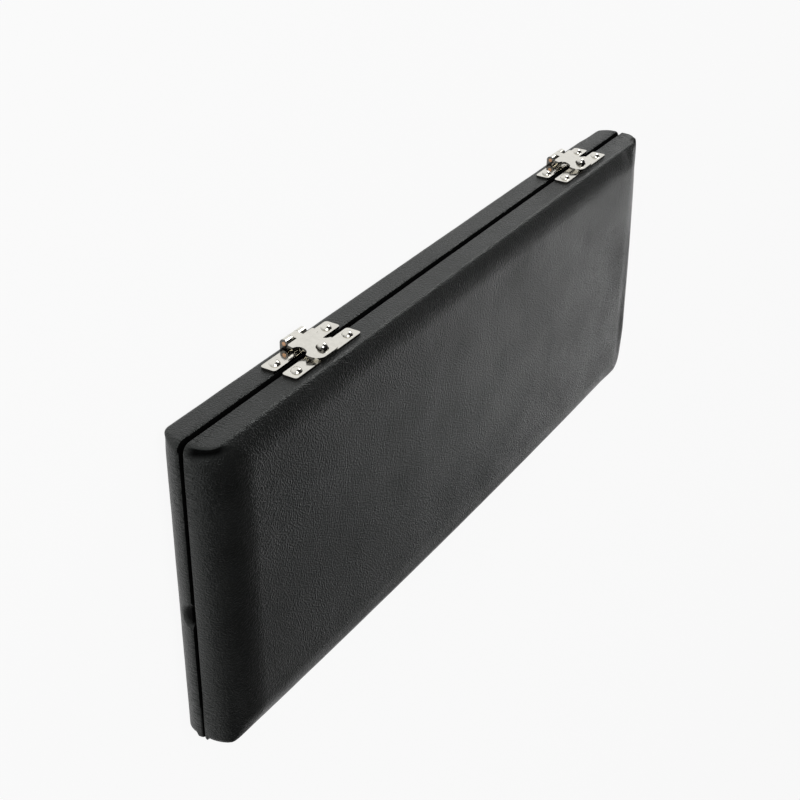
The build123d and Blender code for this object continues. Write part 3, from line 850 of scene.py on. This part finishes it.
def reed_cushion(half, side):
    low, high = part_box(f"{half}_reed_cushion")
    low, high = low / MM, high / MM
    floor_z, top_z = (low.z, high.z) if side == BASE else (high.z, low.z)
    rise = top_z - floor_z
    half_x, half_y = (high.x - low.x) / 2, (high.y - low.y) / 2
    middle_y = (low.y + high.y) / 2
    mesh = bpy.data.meshes.new(f"{half}_cushion")
    bm = bmesh.new()
    tops, floors = [], []
    for i in range(CUSHION_STEPS + 1):
        u = -1 + 2 * i / CUSHION_STEPS
        px = u * half_x
        end_fall = (1 - abs(u) ** CUSHION_END_POWER) ** 0.5
        sunk = 0.5 + 0.5 * cos(2 * pi * (px / PEG_PITCH + PEG_PHASE))
        top_row, floor_row = [], []
        for j in range(CUSHION_ROWS + 1):
            v = -sin(pi / 2 * (1 - 2 * j / CUSHION_ROWS))
            crown = max(1 - abs(v) ** CUSHION_CROWN_POWER, 0) ** 0.5 * end_fall
            height = rise * (CUSHION_RIM + crown * (CUSHION_CROWN - CUSHION_DENT * sunk**2))
            wander = 0.12 * noise.noise(Vector((px / 6, v, side * 3.0)))
            width = (1 - CUSHION_PULL * sunk) * (CUSHION_WIDTH + CUSHION_WANDER * wander)
            py = middle_y + v * half_y * width
            top_row.append(bm.verts.new(Vector((px, py, floor_z + height)) * MM))
            foot = floor_z + rise * CUSHION_LIFT
            floor_row.append(bm.verts.new(Vector((px, py, foot)) * MM))
        tops.append(top_row)
        floors.append(floor_row)
    for i in range(CUSHION_STEPS):
        for j in range(CUSHION_ROWS):
            bm.faces.new((tops[i][j], tops[i + 1][j], tops[i + 1][j + 1], tops[i][j + 1]))
            bm.faces.new((floors[i][j + 1], floors[i + 1][j + 1], floors[i + 1][j], floors[i][j]))
    for i in range(CUSHION_STEPS):
        bm.faces.new((floors[i][0], floors[i + 1][0], tops[i + 1][0], tops[i][0]))
        bm.faces.new((tops[i][-1], tops[i + 1][-1], floors[i + 1][-1], floors[i][-1]))
    for j in range(CUSHION_ROWS):
        bm.faces.new((tops[0][j], tops[0][j + 1], floors[0][j + 1], floors[0][j]))
        bm.faces.new((floors[-1][j], floors[-1][j + 1], tops[-1][j + 1], tops[-1][j]))
    piece = finished(f"{half}_velvet_cushion", bm, mesh, VELVET_LOOK)
    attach(piece, half)
    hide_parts(f"{half}_reed_cushion")


for half, side in HALVES.items():
    leather_cover(half, side)
    velvet_lining(half, side)
    reed_cushion(half, side)


# ---- floor, world and lamps, in metres ----
FLOOR_SIZE, FLOOR_GAP = 24.0, 0.0001
FLOOR_COLOUR = (0.85, 0.85, 0.85, 1.0)
FLOOR_WHITE_SHARE = 0.92

# White walls near the horizon and a dimmer ceiling, between these heights of a view ray
HORIZON_LIGHT, CEILING_LIGHT = 1.0, 0.04
HORIZON_RISE, CEILING_RISE = 0.02, 0.40

# Soft square lamps aimed at the case: place, size and power in watts
LAMPS = {
    "key": ((-1.0, -0.95, 0.2), 0.5, 6.5),
    "far_fill": ((-1.6, 0.75, 0.3), 0.7, 2.35),
    "front": ((0.9, -0.9, 1.0), 1.0, 14.0),
}


def floor_material():
    """Pale floor that the camera and the metal see as white, and that keeps the shadow."""
    m = Nodes("pale_floor", Base_Color=FLOOR_COLOUR, Specular_IOR_Level=0.1)
    m.to("Roughness", m.spread(m.noise(per_mm=0.01, detail=2.0), 0.3, 0.7, 0.75, 0.85))
    glow = m.add("ShaderNodeEmission", sockets={"Color": (1, 1, 1, 1), "Strength": 1.0})
    path = m.add("ShaderNodeLightPath").outputs
    seen = m.maths(path["Is Camera Ray"], path["Is Glossy Ray"], "MAXIMUM")
    seen = m.maths(seen, path["Is Transmission Ray"], "MAXIMUM")
    share = m.times(seen, FLOOR_WHITE_SHARE)
    mix = m.add("ShaderNodeMixShader", {0: share, 1: m.shader.outputs[0], 2: glow.outputs[0]})
    m.tree.links.new(mix.outputs[0], m.tree.nodes["Material Output"].inputs["Surface"])
    return m.material


bpy.ops.mesh.primitive_plane_add(size=FLOOR_SIZE, location=(0, 0, cad_low.z - FLOOR_GAP))
ground = bpy.context.active_object
ground.name = "studio_floor"
ground.data.materials.append(floor_material())

world = bpy.data.worlds.new("studio")
bpy.context.scene.world = world
world.use_nodes = True
sky = world.node_tree
backdrop = sky.nodes["Background"]
backdrop.inputs["Color"].default_value = (1, 1, 1, 1)
direction = sky.nodes.new("ShaderNodeTexCoord")
split = sky.nodes.new("ShaderNodeSeparateXYZ")
rise = sky.nodes.new("ShaderNodeMapRange")
rise.interpolation_type = "SMOOTHSTEP"
rise.inputs["From Min"].default_value = HORIZON_RISE
rise.inputs["From Max"].default_value = CEILING_RISE
rise.inputs["To Min"].default_value = HORIZON_LIGHT
rise.inputs["To Max"].default_value = CEILING_LIGHT
sky.links.new(direction.outputs["Generated"], split.inputs["Vector"])
sky.links.new(split.outputs["Z"], rise.inputs["Value"])
sky.links.new(rise.outputs["Result"], backdrop.inputs["Strength"])

for name, (place, size, power) in LAMPS.items():
    lamp_data = bpy.data.lights.new(name, "AREA")
    lamp_data.shape, lamp_data.size, lamp_data.energy = "SQUARE", size, power
    lamp = placed(name, lamp_data)
    lamp.location = place
    lamp.rotation_euler = (-Vector(place)).to_track_quat("-Z", "Y").to_euler()
